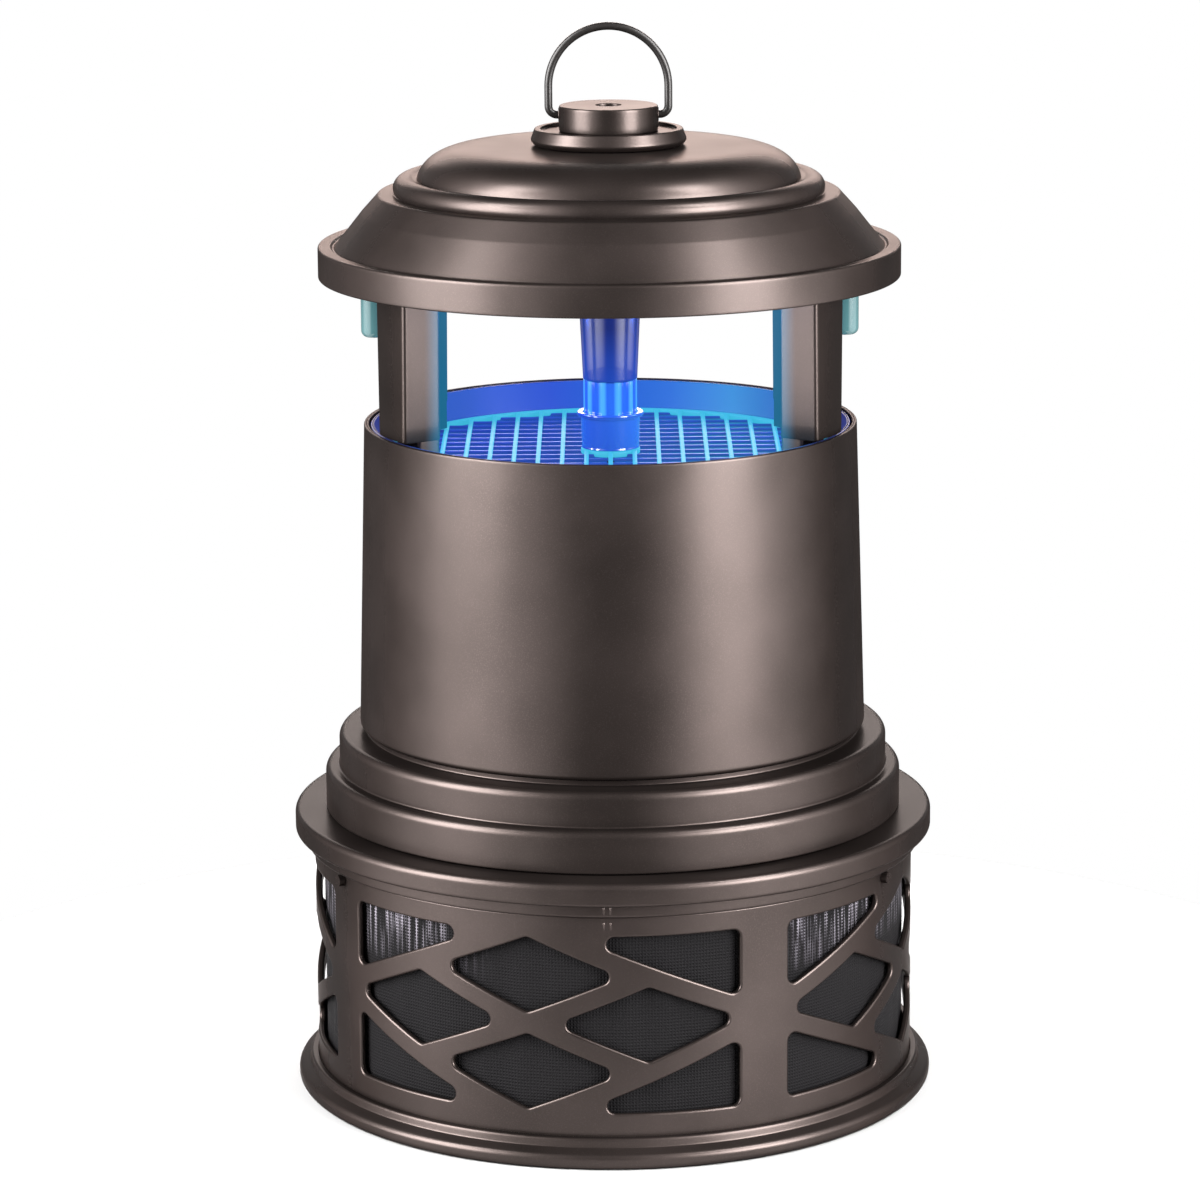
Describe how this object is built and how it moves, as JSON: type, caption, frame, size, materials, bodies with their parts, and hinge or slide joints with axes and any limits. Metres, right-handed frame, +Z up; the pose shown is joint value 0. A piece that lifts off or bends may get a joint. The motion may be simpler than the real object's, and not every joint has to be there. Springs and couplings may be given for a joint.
{
  "type": "electric insect trap",
  "caption": "Lantern-shaped electric insect trap: stepped roof with a wire bail over posts, side lamps, a fan drum and a latticed catch basket that twists off.",
  "frame": {"origin": "centre of the flat underside of the foot, on the floor", "axes": "+Z up along the trap's axis, -Y towards the front, +X to the right seen from the front, along the bail's pivot"},
  "size_m": [0.306, 0.306, 0.5081],
  "materials": {
    "bronze": "satin bronze metallic paint on moulded ABS",
    "black": "satin black moulding",
    "screen": "fine woven black screen",
    "steel": "zinc plated steel",
    "wire": "dark coated wire",
    "blue": "moulding in blue lamp light",
    "clear": "clear moulding in blue lamp light",
    "lamp": "lit fluorescent tube",
    "cap": "white lamp cap",
    "board": "circuit board laminate",
    "rubber": "black rubber",
    "fan": "dark nylon"
  },
  "bodies": {
    "basket": {"basket_cage": "bronze", "base_ring": "bronze", "basket_floor": "black", "mesh_screen": "screen", "lock_pin_1": "bronze", "lock_pin_2": "bronze", "lock_pin_3": "bronze"},
    "lock_ring": {"lock_ring": "bronze"},
    "fan": {"fan_rotor": "fan", "motor_shaft": "steel", "fan_nut": "steel"},
    "bail": {"hanging_bail": "wire"},
    "lamp_left": {"lamp_tube_left": "lamp", "lamp_base_left": "cap"},
    "lamp_right": {"lamp_tube_right": "lamp", "lamp_base_right": "cap"},
    "housing": {"flange_ring": "bronze", "step_collar": "bronze", "drum": "bronze", "funnel": "blue", "grille": "blue", "fan_duct": "black", "motor_bracket": "fan", "motor_can": "steel", "column_socket": "blue", "column_sleeve": "clear", "column_tube": "blue", "motor_lead": "rubber", "roof_pan": "bronze", "roof_shell": "bronze", "knob_base": "bronze", "roof_gasket": "rubber", "knob": "bronze", "hanger_bolt": "steel", "hanger_nut": "steel", "ballast_box": "steel", "driver_board": "board", "cord_gland": "rubber", "duct_screw_1": "steel", "duct_screw_2": "steel", "duct_screw_3": "steel", "post_screw_1": "steel", "flange_screw_1": "steel", "post_screw_2": "steel", "flange_screw_2": "steel", "post_screw_3": "steel", "flange_screw_3": "steel", "post_screw_4": "steel", "flange_screw_4": "steel", "board_standoff_1": "cap", "board_standoff_2": "cap", "post_rear_right": "bronze", "post_rear_left": "bronze", "post_front_left": "bronze", "post_front_right": "bronze", "lamp_socket_left": "cap", "lamp_socket_right": "cap"}
  },
  "joints": [
    {"name": "lock_twist", "type": "hinge", "parent": "basket", "child": "lock_ring", "pos_m": [0, 0, 0.1215], "axis": [0, 0, 1], "range_deg": [0, 20]},
    {"name": "housing_lift", "type": "slide", "parent": "lock_ring", "child": "housing", "axis": [0, 0, 1], "range_m": [0, 0.14]},
    {"name": "fan_spin", "type": "hinge", "parent": "housing", "child": "fan", "pos_m": [0, 0, 0.2], "axis": [0, 0, 1], "continuous": true},
    {"name": "bail_swing", "type": "hinge", "parent": "housing", "child": "bail", "pos_m": [0, 0, 0.4651], "axis": [1, 0, 0], "range_deg": [-90, 90]},
    {"name": "lamp_pull_left", "type": "slide", "parent": "housing", "child": "lamp_left", "axis": [0, 0, -1], "range_m": [0, 0.02]},
    {"name": "lamp_pull_right", "type": "slide", "parent": "housing", "child": "lamp_right", "axis": [0, 0, -1], "range_m": [0, 0.02]}
  ]
}
